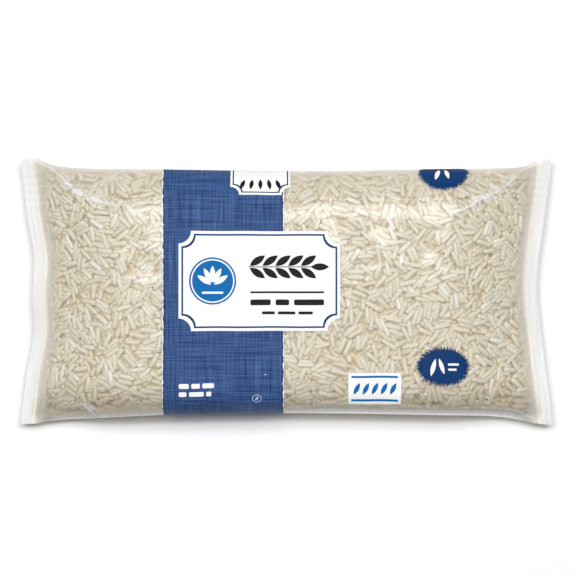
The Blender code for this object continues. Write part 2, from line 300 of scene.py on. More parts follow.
def spawnGrains(random):
    corner = webPlace[:-1, :-1]
    area = np.linalg.norm(np.cross(webPlace[1:, :-1] - corner, webPlace[:-1, 1:] - corner), axis=2)
    area[np.abs(stations[:-1]) > filledHalf] = 0.0
    cells = random.choice(area.size, rice["count"] * 2, p=(area / area.sum()).ravel())
    i, j = np.divmod(cells, columnCount - 1)
    layer = random.choice(3, len(cells), p=rice["layerShare"])
    depth = np.array(rice["layerDepth"])[layer] + random.normal(0.0, rice["layerSpread"], len(cells))
    centre = webPlace[i, j] - webNormal[i, j] * depth[:, None]
    fits = depthAt(centre)[0] > rice["roomy"] * depth  # the thin wedges by the seals have room for few
    i, j, centre, layer = (values[fits][:rice["count"]] for values in (i, j, centre, layer))
    out = webNormal[i, j]
    along = webPlace[i + 1, j] - webPlace[i, j]
    along /= np.linalg.norm(along, axis=1, keepdims=True)
    side = np.cross(out, along)
    # grains lie in loose patches that point much the same way
    phase = random.uniform(0.0, 6.28, 8)
    x, y, z = (centre / rice["patch"]).T
    swirl = np.sin(x + 0.7 * y + phase[0]) + np.sin(1.3 * y - 0.5 * x + phase[1])
    swirl = swirl + np.sin(0.6 * x + 1.7 * y + z + phase[2])
    swirl += 0.8 * np.sin(2.1 * x - 1.1 * y + 2 * z + phase[3])
    turn = swirl * 1.1 + random.normal(0.0, rice["turn"], len(centre))
    tilt = random.normal(0.0, rice["tilt"], len(centre)) * (1 + layer)
    axis = along * np.cos(turn)[:, None] + side * np.sin(turn)[:, None] + out * tilt[:, None]
    axis /= np.linalg.norm(axis, axis=1, keepdims=True)
    length = random.normal(rice["length"], rice["spread"], len(centre))
    length = length.clip(rice["shortest"], rice["longest"])
    kind = random.choice(4, len(centre), p=rice["kindShares"])
    broken = random.uniform(size=len(centre)) < rice["broken"]
    kind[broken] = 4
    length[broken] = random.uniform(0.7, 1.25, broken.sum()) * rice["brokenLength"]
    girth = random.normal(1.0, rice["girthSpread"], len(centre)).clip(0.88, 1.12)
    girth = girth * np.where(kind == 1, rice["plumper"], 1.0)
    return centre, axis, length, girth, kind


# pairs of grains whose middles are near enough for them to touch
def nearPairs(centre, length):
    cell = ((centre - centre.min(axis=0)) / rice["cell"]).astype(int) + 1
    span = cell.max(axis=0) + 2
    key = (cell[:, 0] * span[1] + cell[:, 1]) * span[2] + cell[:, 2]
    order = np.argsort(key, kind="stable")
    ordered = key[order]
    first, second = [], []
    for dx in (-1, 0, 1):
        for dy in (-1, 0, 1):
            for dz in (-1, 0, 1):
                step = (dx * span[1] + dy) * span[2] + dz
                if step < 0:
                    continue
                begin = np.searchsorted(ordered, key + step, "left")
                count = np.searchsorted(ordered, key + step, "right") - begin
                one = np.repeat(np.arange(len(centre)), count)
                offset = np.arange(count.sum()) - np.repeat(np.cumsum(count) - count, count)
                two = order[np.repeat(begin, count) + offset]
                keep = one < two if step == 0 else np.ones(len(one), bool)
                first.append(one[keep])
                second.append(two[keep])
    one, two = np.concatenate(first), np.concatenate(second)
    reach = (length[one] + length[two]) / 2 + rice["touch"]
    gap = centre[one] - centre[two]
    near = np.einsum("ij,ij->i", gap, gap) < reach**2
    return one[near], two[near]


# where two rods come closest, as shares along each
def closestShares(a0, a1, b0, b1):
    u, v, w = a1 - a0, b1 - b0, a0 - b0
    uu, vv = np.einsum("ij,ij->i", u, u) + 1e-14, np.einsum("ij,ij->i", v, v) + 1e-14
    uv, uw, vw = np.einsum("ij,ij->i", u, v), np.einsum("ij,ij->i", u, w), np.einsum("ij,ij->i", v, w)
    s = np.clip((uv * vw - uw * vv) / np.maximum(uu * vv - uv * uv, 1e-18), 0.0, 1.0)
    t = np.clip((uv * s + vw) / vv, 0.0, 1.0)
    s = np.clip((uv * t - uw) / uu, 0.0, 1.0)
    return s, t


# push the grains apart and out against the film until they hardly overlap
def settleGrains(centre, axis, length, girth, random):
    radius = girth * (rice["width"] + rice["thickness"]) / 4 * rice["slim"]
    arm = (length / 2 - radius * rice["tipIn"])[:, None]
    a, b = centre - axis * arm, centre + axis * arm
    count = len(centre)
    for step in range(rice["settle"]):
        if step % 8 == 0:
            one, two = nearPairs((a + b) / 2, length)
        s, t = closestShares(a[one], b[one], a[two], b[two])
        gap = a[one] + (b[one] - a[one]) * s[:, None] - a[two] - (b[two] - a[two]) * t[:, None]
        distance = np.linalg.norm(gap, axis=1)
        overlap = radius[one] + radius[two] - distance
        hit = overlap > 0
        i, j, s, t = one[hit], two[hit], s[hit], t[hit]
        push = gap[hit] / np.maximum(distance[hit], 1e-7)[:, None]
        share = overlap[hit] / ((1 - s) ** 2 + s**2 + (1 - t) ** 2 + t**2)
        moveA, moveB, touches = np.zeros((count, 3)), np.zeros((count, 3)), np.ones(count)
        touches += rice["calm"] * (np.bincount(i, minlength=count) + np.bincount(j, minlength=count))
        for c in range(3):
            p = push[:, c] * share
            moveA[:, c] = np.bincount(i, p * (1 - s), count) - np.bincount(j, p * (1 - t), count)
            moveB[:, c] = np.bincount(i, p * s, count) - np.bincount(j, p * t, count)
        a += moveA / touches[:, None]
        b += moveB / touches[:, None]
        pull = rice["press"] * max(0.0, 1.0 - step / (rice["settle"] - rice["lastRounds"]))
        for end in (a, b):
            depth, inwards = depthAt(end)
            end += inwards * (np.maximum(radius - depth, 0.0) - pull)[:, None]
            keepOffFolds(end, radius)
        middle = (a + b) / 2
        depth, inwards = depthAt(middle)
        shift = inwards * np.maximum(radius - depth, 0.0)[:, None]
        middle += shift
        axis = b - a
        axis /= np.maximum(np.linalg.norm(axis, axis=1, keepdims=True), 1e-9)
        a, b = middle - axis * arm, middle + axis * arm
    kept = np.ones(count, bool)
    deep = overlap > rice["tooDeep"] * (radius[one] + radius[two])
    for i, j in zip(one[deep], two[deep]):
        if kept[i] and kept[j]:
            kept[max(i, j)] = False
    print("grains settled", count, "kept", int(kept.sum()))
    return (a + b) / 2, axis, kept


# one grain along Z, from -1 to 1, on a sphere of few faces
def grainShape(kind, random):
    bm = bmesh.new()
    bmesh.ops.create_uvsphere(bm, u_segments=6, v_segments=6, radius=1.0)
    lean = random.uniform(-0.15, 0.15)
    bend = {"curved": 0.34, "slender": 0.08, "tapered": 0.14}.get(kind, 0.05)
    for v in bm.verts:
        z = math.copysign(abs(v.co.z) ** 0.44, v.co.z)
        full = (1.0 - abs(z) ** 8.0) ** 0.5 if abs(z) < 1 else 0.0
        if kind == "tapered":
            full *= 1.0 - 0.16 * z
        if kind == "broken" and z < 0:
            full = max(full, 0.72 * min(1.0, (1.0 + z) * 6))
        ring = math.hypot(v.co.x, v.co.y) or 1.0
        x = math.copysign(abs(v.co.x / ring) ** 0.5, v.co.x)  # a cross-section with flat broad sides
        y = math.copysign(abs(v.co.y / ring) ** 0.7, v.co.y)
        v.co.x = x * full * (1.0 + 0.06 * math.sin(3 * z + lean * 9))
        v.co.y = y * full + bend * (z * z - 0.4)
        v.co.z = z + 0.05 * lean * v.co.x
    places = np.array([v.co[:] for v in bm.verts])
    faces = [[v.index for v in f.verts] for f in bm.faces]
    bm.free()
    return places, faces


# many copies of a shape, joined into one mesh from arrays
def joinCopies(name, places, faces, copies, centres, values):
    count, size = len(centres), len(places)
    spots = (np.einsum("nij,vj->nvi", copies, places) + centres[:, None]).reshape(-1, 3)
    corners = np.concatenate([np.array(f) for f in faces])
    lengths = np.array([len(f) for f in faces])
    mesh = bpy.data.meshes.new(name)
    mesh.vertices.add(count * size)
    mesh.vertices.foreach_set("co", spots.ravel())
    mesh.loops.add(count * len(corners))
    mesh.loops.foreach_set("vertex_index", (corners + np.arange(count)[:, None] * size).ravel())
    mesh.polygons.add(count * len(faces))
    starts = np.concatenate([[0], np.cumsum(lengths)[:-1]])
    mesh.polygons.foreach_set("loop_start", (starts + np.arange(count)[:, None] * len(corners)).ravel())
    mesh.update(calc_edges=True)
    for label, per in values.items():
        layer = mesh.attributes.new(label, "FLOAT", "POINT")
        layer.data.foreach_set("value", per.ravel().astype(np.float32))
    mesh.shade_smooth()
    mesh.validate()
    return addPiece(name, mesh)


def addPiece(name, mesh):
    piece = bpy.data.objects.new(name, mesh)
    bpy.context.scene.collection.objects.link(piece)
    return piece


def pieceFrom(name, bm, material):
    mesh = bpy.data.meshes.new(name)
    bm.to_mesh(mesh)
    bm.free()
    mesh.shade_smooth()
    mesh.materials.append(material)
    return addPiece(name, mesh)


# one material while its nodes are laid
class Look:
    def __init__(self, name):
        self.material = bpy.data.materials.new(name)
        self.material.use_nodes = True
        self.tree = self.material.node_tree
        self.tree.nodes.clear()

    def add(self, kind, inputs=None, **settings):
        node = self.tree.nodes.new("ShaderNode" + kind)
        for key, value in settings.items():
            setattr(node, key, value)
        for key, value in (inputs or {}).items():
            if isinstance(value, bpy.types.NodeSocket):
                self.tree.links.new(value, node.inputs[key])
            else:
                node.inputs[key].default_value = value
        return node

    def attribute(self, label):
        return self.add("Attribute", attribute_name=label).outputs["Fac"]

    def place(self):
        return self.add("TexCoord").outputs["Object"]

    def flatWeb(self):
        return self.add("UVMap", uv_map="web").outputs["UV"]

    def noise(self, place, scale, detail):
        return self.add("TexNoise", {"Vector": place, "Scale": scale, "Detail": detail}).outputs["Fac"]

    # noise with a scale of its own each way
    def stretched(self, place, scales, detail):
        drawn = self.add("Mapping", {"Vector": place, "Scale": (*scales, 1.0)}).outputs[0]
        return self.noise(drawn, 1.0, detail)

    def math(self, operation, *values, clamp=False):
        return self.add("Math", dict(enumerate(values)), operation=operation, use_clamp=clamp).outputs[0]

    def plus(self, a, b, clamp=False):
        return self.math("ADD", a, b, clamp=clamp)

    def minus(self, a, b):
        return self.math("SUBTRACT", a, b)

    def times(self, a, b, clamp=False):
        return self.math("MULTIPLY", a, b, clamp=clamp)

    def ramp(self, value, fromLow, fromHigh, toLow=0.0, toHigh=1.0, **settings):
        return self.add("MapRange", {
            "Value": value, "From Min": fromLow, "From Max": fromHigh, "To Min": toLow, "To Max": toHigh,
        }, **settings).outputs[0]

    def mix(self, share, a, b, blend="MIX"):
        return self.add("Mix", {0: share, 6: a, 7: b}, data_type="RGBA", blend_type=blend).outputs[2]

    def bump(self, strength, distance, height):
        return self.add("Bump", {"Strength": strength, "Distance": distance, "Height": height}).outputs[0]

    def shader(self, kind, inputs):
        return self.add(kind, inputs).outputs[0]

    def finish(self, shader):
        self.add("OutputMaterial", {"Surface": shader})
        return self.material


# a colour as the screen shows it, 0 to 255, made linear
def rgb(colour):
    linear = (v / 255 / 12.92 if v <= 10.3 else ((v / 255 + 0.055) / 1.055) ** 2.4 for v in colour)
    return (*linear, 1.0)


riceLook = dict(
    pale=(210, 206, 193), warm=(196, 188, 168), mottleScale=520.0, mottle=0.7,
    chalk=(218, 214, 206), chalkFrom=(0.86, 0.97), tip=(176, 160, 127), tipFrom=(0.72, 1.0), tipShare=0.35,
    deep=(182, 158, 116), deepShadeShare=0.26,  # painted shade: a darker tan on the grains of the lower layers, seen in the gaps
    # painted light: a faint warm emission that lifts the shade between and inside the grains, standing in
    # for light scattered through the rice
    roughness=0.5, specular=0.30, bump=(0.12, 0.0002), paintedGlow=(222, 210, 182), paintedGlowStrength=0.17,
    under=0.85, underRadius=(1.0, 0.88, 0.70), underScale=0.0034,  # the light that passes into a grain
)


def riceMaterial():
    look = Look("riceGrain")
    tone = look.attribute("tone")
    mottle = look.noise(look.place(), riceLook["mottleScale"], 2.0)
    share = look.plus(tone, look.times(look.minus(mottle, 0.5), riceLook["mottle"]), clamp=True)
    colour = look.mix(share, rgb(riceLook["warm"]), rgb(riceLook["pale"]))
    colour = look.mix(look.ramp(tone, *riceLook["chalkFrom"]), colour, rgb(riceLook["chalk"]))
    tip = look.times(look.ramp(look.attribute("along"), *riceLook["tipFrom"]), riceLook["tipShare"])
    colour = look.mix(tip, colour, rgb(riceLook["tip"]))
    # painted shade: grains sunk below the top layer take the darker tan
    deep = look.times(look.attribute("sunk"), riceLook["deepShadeShare"])
    # the emission is painted light, a faint glow that lifts the grains' shade
    return look.finish(look.shader("BsdfPrincipled", {
        "Base Color": look.mix(deep, colour, rgb(riceLook["deep"])), "Roughness": riceLook["roughness"],
        "Subsurface Weight": riceLook["under"], "Subsurface Radius": riceLook["underRadius"],
        "Subsurface Scale": riceLook["underScale"], "Emission Color": rgb(riceLook["paintedGlow"]),
        "Emission Strength": riceLook["paintedGlowStrength"], "Specular IOR Level": riceLook["specular"],
        "Normal": look.bump(*riceLook["bump"], mottle),
    }))


def coreMaterial():
    look = Look("riceShade")
    cells = look.add("TexVoronoi", {"Vector": look.place(), "Scale": 260.0}).outputs["Distance"]
    colour = look.mix(cells, rgb((232, 216, 180)), rgb((212, 192, 150)))
    return look.finish(look.shader("BsdfPrincipled", {
        "Base Color": colour, "Roughness": 0.7, "Normal": look.bump(0.6, 0.001, cells),
    }))


filmLook = dict(
    haze=0.075, cloud=0.05, gloss=0.13, facing=0.022, grazing=0.22, streak=0.6,
    white=(233, 233, 234), warmWhite=(236, 232, 223), whiteRoughness=0.35, whiteSpecular=0.3,
    # what the film lets through: clear, and darker in the painted shade
    clear=(0.985, 0.985, 0.98, 1.0), shaded=(0.68, 0.665, 0.63, 1.0),
    paintedFoldGlow=0.28,  # painted light: the milky film along the near fold glows, standing in for light from the floor and from inside
    # rice seen dimly, where the film stands off it
    soft=(206, 198, 176), softLight=(224, 217, 200), softPitch=3.6 * mm,
    # the relief of the bump, each with its scales along the bag and round it
    streakScales=(520.0, 26.0), cloudScale=90.0, creaseScales=(40.0, 260.0), ruckScales=(430.0, 95.0),
    cloudRelief=0.5, creaseRelief=0.4, ruckRelief=0.6, tautShare=0.25, bump=(0.5, 0.0005),
    # a crease's line and the painted glare beside it: half width and pitch in mm, and the least width
    crease=(0.85, 5.2, 0.45), creaseWhite=0.62, creaseShine=0.10, glare=(4.3, 2.4, -0.1), glareWhite=0.80,
    patches=(0.3, 0.7), widest=1.5,
)


# a crisp white line along each crease, partly the film's own whitening at the fold and partly a painted
# highlight, and patches of painted glare beside it
def creaseMasks(look, place):
    away = look.math("ABSOLUTE", look.attribute("creaseAway"))
    masks = []
    for label in ("crease", "glare"):
        halfWide, pitch, least = filmLook[label]
        patchy = look.noise(place, 1 / (pitch * mm), 3.0)
        uneven = look.ramp(patchy, *filmLook["patches"], least, filmLook["widest"])
        wide = look.math("MAXIMUM", look.times(uneven, halfWide), 0.01)
        share = look.math("DIVIDE", away, wide)
        line = look.ramp(share, 0.0, 1.0, 1.0, 0.0, interpolation_type="SMOOTHSTEP")
        masks.append(look.times(look.times(line, look.attribute(label + "Fade")), uneven, clamp=True))
    return masks


def filmMaterial():
    look = Look("clearFilm")
    labels = ("milk", "soft", "slack", "shade", "paintedFoldGlow", "warm")
    milk, soft, slack, shade, paintedFoldGlow, warm = map(look.attribute, labels)
    place, flat = look.place(), look.flatWeb()
    line, glare = creaseMasks(look, place)
    streak = look.stretched(flat, filmLook["streakScales"], 3.0)
    cloud = look.noise(flat, filmLook["cloudScale"], 4.0)
    crease = look.stretched(flat, filmLook["creaseScales"], 4.0)
    ruck = look.stretched(flat, filmLook["ruckScales"], 2.0)

    streaks = look.plus(look.times(look.minus(streak, 0.5), filmLook["streak"]), 1.0)
    clouds = look.plus(look.times(cloud, filmLook["cloud"]), filmLook["haze"])
    haze = look.plus(look.times(milk, streaks), clouds, clamp=True)
    # the crease line's white is partly the film's own whitening and partly painted highlight
    haze = look.plus(haze, look.times(line, filmLook["creaseWhite"]), clamp=True)
    # painted highlight: glare patches beside the creases
    haze = look.plus(haze, look.times(glare, filmLook["glareWhite"]), clamp=True)

    relief = look.times(cloud, filmLook["cloudRelief"])
    relief = look.plus(relief, look.times(crease, filmLook["creaseRelief"]))
    relief = look.plus(relief, look.times(ruck, filmLook["ruckRelief"]))
    loose = look.times(slack, 1.0 - filmLook["tautShare"])
    bump = look.bump(*filmLook["bump"], look.times(relief, look.plus(loose, filmLook["tautShare"])))

    facing = look.add("LayerWeight", {"Blend": 0.5, "Normal": bump}).outputs["Facing"]
    grazing = look.times(look.math("POWER", facing, 5.0), filmLook["grazing"])
    mirror = look.plus(grazing, filmLook["facing"], clamp=True)
    mirror = look.plus(mirror, look.times(line, filmLook["creaseShine"]), clamp=True)
    mirror = look.times(mirror, look.minus(1.0, look.times(milk, 0.75)))

    # painted shade: the film lets less through where the shade field is high
    through = look.mix(shade, filmLook["clear"], filmLook["shaded"])
    clear = look.shader("BsdfTransparent", {"Color": through})
    # the white film's emission is painted light, a glow along the near fold
    white = look.shader("BsdfPrincipled", {
        "Base Color": look.mix(warm, rgb(filmLook["white"]), rgb(filmLook["warmWhite"])),
        "Roughness": filmLook["whiteRoughness"], "Specular IOR Level": filmLook["whiteSpecular"],
        "Normal": bump, "Emission Color": look.mix(paintedFoldGlow, (0.0, 0.0, 0.0, 1.0), rgb(filmLook["white"])),
        "Emission Strength": filmLook["paintedFoldGlow"],
    })
    shine = look.shader("BsdfGlossy", {"Roughness": filmLook["gloss"], "Normal": bump})
    blotch = look.noise(place, 1.0 / filmLook["softPitch"], 1.0)
    tone = look.mix(blotch, rgb(filmLook["soft"]), rgb(filmLook["softLight"]))
    # painted shade: the blurred rice tone darkens there too
    tone = look.mix(shade, tone, look.mix(1.0, tone, filmLook["shaded"], "MULTIPLY"))
    blurred = look.shader("BsdfDiffuse", {"Color": tone, "Normal": bump})
    dim = look.shader("MixShader", {0: soft, 1: clear, 2: blurred})
    body = look.shader("MixShader", {0: haze, 1: dim, 2: white})
    return look.finish(look.shader("MixShader", {0: mirror, 1: body, 2: shine}))


inkLook = dict(roughness=0.6, specular=0.12, cloudScale=700.0, dark=0.86)


def inkMaterial(name, colour):
    look = Look(name)
    cloud = look.noise(look.flatWeb(), inkLook["cloudScale"], 3.0)
    dark = tuple(v * inkLook["dark"] for v in rgb(colour)[:3]) + (1.0,)
    return look.finish(look.shader("BsdfPrincipled", {
        "Base Color": look.mix(cloud, dark, rgb(colour)), "Roughness": inkLook["roughness"],
        "Specular IOR Level": inkLook["specular"],
    }))


# a plain crossed weave of fine light and dark threads
linen = dict(dark=(17, 45, 93), light=(71, 102, 153), thread=0.00066, run=44, contrast=(0.74, 1.28))


def linenMaterial():
    look = Look("blueLinenPrint")
    flat = look.flatWeb()
    fine = 1.0 / linen["thread"]
    crossed = 0.0
    for scales in ((fine, fine / linen["run"]), (fine / linen["run"], fine)):
        crossed = look.plus(look.stretched(flat, scales, 2.0), crossed)
    share = look.ramp(crossed, *linen["contrast"])
    return look.finish(look.shader("BsdfPrincipled", {
        "Base Color": look.mix(share, rgb(linen["dark"]), rgb(linen["light"])),
        "Roughness": inkLook["roughness"], "Specular IOR Level": inkLook["specular"],
    }))


# Grains
def buildRice():
    random = np.random.default_rng(rice["seed"])
    centre, axis, length, girth, kind = spawnGrains(random)
    centre, axis, kept = settleGrains(centre, axis, length, girth, random)
    centre, axis, length, girth, kind = (values[kept] for values in (centre, axis, length, girth, kind))
    depth, inwards = depthAt(centre)
    wide = np.cross(axis, inwards + random.normal(0.0, 0.25, inwards.shape))
    wide /= np.linalg.norm(wide, axis=1, keepdims=True)
    flat = np.cross(axis, wide)
    tone = random.normal(*rice["tone"], len(centre)).clip(0.0, 1.0)
    # painted shade: how far below the top layer each grain lies, for its darker tan
    sunk = smooth((depth - rice["shadeFrom"]) / rice["shadeReach"])
    look = riceMaterial()
    made = []
    for number, name in enumerate(kinds):
        chosen = kind == number
        places, faces = grainShape(name, random)
        copies = np.stack([
            wide[chosen] * (girth[chosen] * rice["width"] / 2)[:, None],
            flat[chosen] * (girth[chosen] * rice["thickness"] / 2)[:, None],
            axis[chosen] * (length[chosen] / 2)[:, None],
        ], axis=2)
        values = dict(
            tone=np.repeat(tone[chosen][:, None], len(places), axis=1),
            sunk=np.repeat(sunk[chosen][:, None], len(places), axis=1),
            along=np.repeat(places[None, :, 2], chosen.sum(), axis=0),
        )
        piece = joinCopies("rice_" + name, places, faces, copies, centre[chosen], values)
        piece.data.materials.append(look)
        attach(piece, "root")
        made.append(piece)
    return made


ricePieces = buildRice()
print("rice pieces", [len(p.data.polygons) for p in ricePieces])

# The film drapes over the outermost grains and sags a little between them
drape = dict(
    clearance=0.18 * mm, shoulder=0.10 * mm, soften=3, sag=0.012 * mm, rounds=70,
    deepest=-0.75 * mm, start=-0.1 * mm, highest=0.5 * mm, reach=1.6 * mm, endReach=6 * mm,
)

# Creases that start at the end seals' corners, as seen from above
creases = [
    dict(
        path=(
            (-131.5, 68.8), (-123, 64.6), (-116.5, 59.0), (-112.5, 55.0), (-107, 50.7),
            (-96.5, 47.0), (-79, 40.3),
        ),
        strength=1.0, glare=1.0,
    ),
    dict(
        path=((138, 69.8), (123.5, 63.8), (116, 56.4), (108, 51.0), (100, 47.5), (93.5, 43.4), (83, 40.0)),
        strength=0.9, glare=0.9,
    ),
    dict(path=((-110.5, -55.5), (-106, -58.5), (-103, -61.0), (-98.5, -65.2)), strength=0.8, glare=0.0),
    dict(path=((-108.5, -57.3), (-102, -58.8), (-96, -62.2)), strength=0.5, glare=0.0),
    dict(path=((-122, -62.0), (-114, -60.0), (-108.0, -57.5)), strength=0.35, glare=0.0),
    dict(path=((104, -60.5), (118, -61.5), (131, -67.0)), strength=0.4, glare=0.0),
]
ridge = dict(height=0.35 * mm, width=1.1 * mm, reach=3.5)  # the reach in millimetres

# soft pleats that run in from the seals, and long shallow ones on the far slope
pleats = dict(
    height=0.28 * mm, pitch=5.2 * mm, reach=13 * mm, slopeHeight=0.22 * mm, slopePitch=4.1 * mm,
    slopeRun=34 * mm, slopeFrom=42 * mm, slopeTo=66 * mm, drift=2.2,
)


# the signed distance of each point of the front to the nearest crease, in millimetres, and how
# strong its line and the painted glare beside it are there
def creaseField():
    spots = webPlace[:, front, :2] / mm
    nearest = np.full(spots.shape[:2], 99.0)
    signed, strength, glare = nearest.copy(), np.zeros(nearest.shape), np.zeros(nearest.shape)
    for crease in creases:
        path = np.array(crease["path"])
        for number, (a, b) in enumerate(zip(path[:-1], path[1:])):
            run = b - a
            share = ((spots - a) @ run / (run @ run)).clip(0.0, 1.0)
            gap = spots - a - share[:, :, None] * run
            distance = np.linalg.norm(gap, axis=2)
            along = (number + share) / (len(path) - 1)
            fade = smooth(along * 2.0 + 0.28) * smooth((1.0 - along) * 3.2) * crease["strength"]
            spread = smooth((along - 0.2) * 2.6) * smooth((1.0 - along) * 4.0) * crease["glare"]
            closer = distance < nearest
            nearest = np.where(closer, distance, nearest)
            side = np.sign(run[0] * gap[:, :, 1] - run[1] * gap[:, :, 0])
            signed = np.where(closer, distance * side, signed)
            strength = np.where(closer, fade, strength)
            glare = np.where(closer, spread, glare)
    away, fade, broad = np.full(webX.shape, 99.0), np.zeros(webX.shape), np.zeros(webX.shape)
    away[:, front] = signed
    fade[:, front] = strength * np.exp(-((nearest / ridge["reach"]) ** 2))
    broad[:, front] = glare * np.exp(-((nearest / (ridge["reach"] * 2)) ** 2))
    return away, fade, broad


creaseAway, creaseFade, glareFade = creaseField()


# each point with the mean of its four neighbours, round the web
def meanBeside(height):
    wrapped = np.concatenate([height[:, -2:-1], height, height[:, 1:2]], axis=1)
    return (wrapped[1:-1, :-2] + wrapped[1:-1, 2:] + wrapped[:-2, 1:-1] + wrapped[2:, 1:-1]) / 4


def drapeFilm():
    graph = bpy.context.evaluated_depsgraph_get()
    trees = [BVHTree.FromObject(p, graph) for p in ricePieces]
    rest = np.full(webX.shape, drape["deepest"])
    filled = np.flatnonzero(np.abs(stations) < filledHalf - 1.0 * mm)
    for i in filled:
        for j in range(columnCount - 1):
            out = Vector(webNormal[i, j])
            start = Vector(webPlace[i, j]) + out * drape["reach"]
            for tree in trees:
                hit = tree.ray_cast(start, -out, drape["reach"] * 2)
                if hit[0] is not None:
                    rest[i, j] = max(rest[i, j], drape["reach"] - hit[3] + drape["clearance"])
    rest[:, -1] = rest[:, 0]
    padded = np.concatenate([rest[:, -2:-1], rest, rest[:, 1:2]], axis=1)
    wide = np.maximum(np.maximum(padded[:, :-2], padded[:, 2:]), padded[:, 1:-1])
    beside = np.maximum(np.maximum(wide[:-2], wide[2:]), wide[1:-1]) - drape["shoulder"]
    rest[1:-1] = np.maximum(rest[1:-1], beside)
    height = np.maximum(rest, drape["start"])
    for step in range(drape["rounds"]):
        height[1:-1] = np.maximum(rest[1:-1], meanBeside(height) - drape["sag"])
    for step in range(drape["soften"]):
        height[1:-1] = (height[1:-1] + meanBeside(height)) / 2
    height = height.clip(drape["deepest"], drape["highest"]) * smooth(fromSeal / drape["endReach"])
    inside = fromSeal.clip(0.0)
    turn = flatAround / pleats["pitch"] * 2 * math.pi + 1.3 * np.sin(flatAround / (11 * mm))
    wave = 0.5 + 0.5 * np.sin(turn + (stations > 0)[:, None] * 2.0)
    fading = np.exp(-((inside / pleats["reach"]) ** 2)) * smooth(inside / (2 * mm))
    height += pleats["height"] * wave * fading
    slope = smooth((webY - pleats["slopeFrom"]) / (6 * mm)) * smooth((pleats["slopeTo"] - webY) / (5 * mm))
    drift = pleats["drift"] * np.sin(stations / pleats["slopeRun"])[:, None]
    long = 0.5 + 0.5 * np.sin(webY / pleats["slopePitch"] * 2 * math.pi + drift)
    height += pleats["slopeHeight"] * long**2 * slope
    raised = np.exp(-((creaseAway * mm / ridge["width"]) ** 2)) * creaseFade
    height += ridge["height"] * raised * smooth(inside / (1.5 * mm))
    heel = webZ < 1.5 * mm
    height[heel] = np.minimum(height[heel], 0.0)
    return height


relief = drapeFilm()
webFinal = webPlace + webNormal * relief[:, :, None]
webFinal[[0, -1]] = webPlace[[0, -1]]
print("film draped, mm", round(float(relief.min()) * 1000, 2), round(float(relief.max()) * 1000, 2))


# a flat grid of the web, with its vertices in the web's own order
def webGrid(rows, columns, labels=()):
    bm = bmesh.new()
    for label in labels:
        bm.verts.layers.float.new(label)
    bm.loops.layers.uv.new("web")
    bmesh.ops.create_grid(bm, x_segments=rows - 1, y_segments=columns - 1, size=1.0)
    bm.verts.ensure_lookup_table()
    return bm, sorted(bm.verts, key=lambda v: (round(v.co.x * 1e5), round(v.co.y * 1e5)))


# how white the film is: milky seals that clear slowly, a lapped back seam, and white along the folds
# that is partly the film's own haze and partly painted light and reflection
veil = dict(
    seal=0.85, most=0.85, fadeFrom=-3.4 * mm, fadeTo=6.2 * mm, haze=0.05, hazeReach=12 * mm,
    # painted shade: the milky seals are less white towards the near corners
    nearCorner=0.40, cornerFrom=48 * mm, cornerReach=16 * mm,
    # white beside the folds, partly the film's own haze and partly painted light and reflection
    farStrip=0.30, farReach=4.0 * mm, nearStrip=(0.36, 0.62), stripFrom=0.5 * mm, stripReach=5.2 * mm,
    # painted highlight: a white line along the near fold's edge
    nearEdge=0.30, edgeReach=1.4 * mm, seam=0.30, seamHalf=5.5 * mm,
    underFrom=0.8 * mm, underReach=6 * mm, underClear=0.85,  # clearer below the folds
)

# how dim the rice looks, where the film stands off it: 0 clear, 1 hidden
stoodOff = dict(
    fold=0.34, foldReach=4.5 * mm, slope=0.25, slopeFrom=6 * mm, slopeReach=12 * mm,
    end=0.26, endReach=7 * mm, corner=0.20, cornerReach=24 * mm, near=0.30, nearReach=11 * mm,
)

# painted shade: how much darker the film shows the rice along the near side, the amount as (left, right),
# and a little towards the ends
paintedShade = dict(amount=(1.15, 1.05), reach=23 * mm, under=0.6, ends=0.12, endReach=16 * mm)

# distances in plan to the far fold and to the near one
fromFar = farHalf[:, None] - webY
fromNear = nearHalf[:, None] + webY


def fading(distance, reach, start=0.0):
    return 1.0 - smooth((distance - start) / reach)


# from 0 on the front and at a fold to 1 where the film has passed well below it
def underFolds():
    foldHeight = np.where(webY < 0, webZ[:, [half]], webZ[:, [half + web["around"]]])
    return smooth((foldHeight - webZ - veil["underFrom"]) / veil["underReach"])


under = underFolds()
aboveFolds = 1.0 - veil["underClear"] * under

# the strip of free film along the near fold
nearStrip = (1.0 - (fromNear - veil["stripFrom"]) / veil["stripReach"]).clip(0.0, 1.0) * aboveFolds


def filmVeil():
    fade = ((fromSeal - veil["fadeFrom"]) / (veil["fadeTo"] - veil["fadeFrom"])).clip(0.0, 1.0)
    # painted shade: less white in the seals towards the near corners
    nearCorner = veil["nearCorner"] * smooth((-webY - veil["cornerFrom"]) / veil["cornerReach"])
    nearCorner = nearCorner * smooth(fade * 5.0)
    milk = veil["seal"] * (1.0 - fade) * (1.0 - nearCorner)
    milk = milk + veil["haze"] * fading(fromSeal, veil["hazeReach"]) * (fromSeal > 0)
    # partly the film's own haze, partly painted reflection along the far fold
    milk = milk + veil["farStrip"] * fading(fromFar, veil["farReach"]) * aboveFolds
    left, right = veil["nearStrip"]
    # partly the film's own haze, partly painted light that lifts the strip along the near fold
    milk = milk + nearStrip * (left + (right - left) * smooth((webX + 10 * mm) / (40 * mm)))
    # painted highlight along the near fold's edge
    milk = milk + veil["nearEdge"] * fading(fromNear, veil["edgeReach"]) * aboveFolds
    seam = np.abs(webY[midRow]) < veil["seamHalf"]
    seam[front] = False
    milk[:, seam] += veil["seam"]
    return milk.clip(0.0, veil["most"])


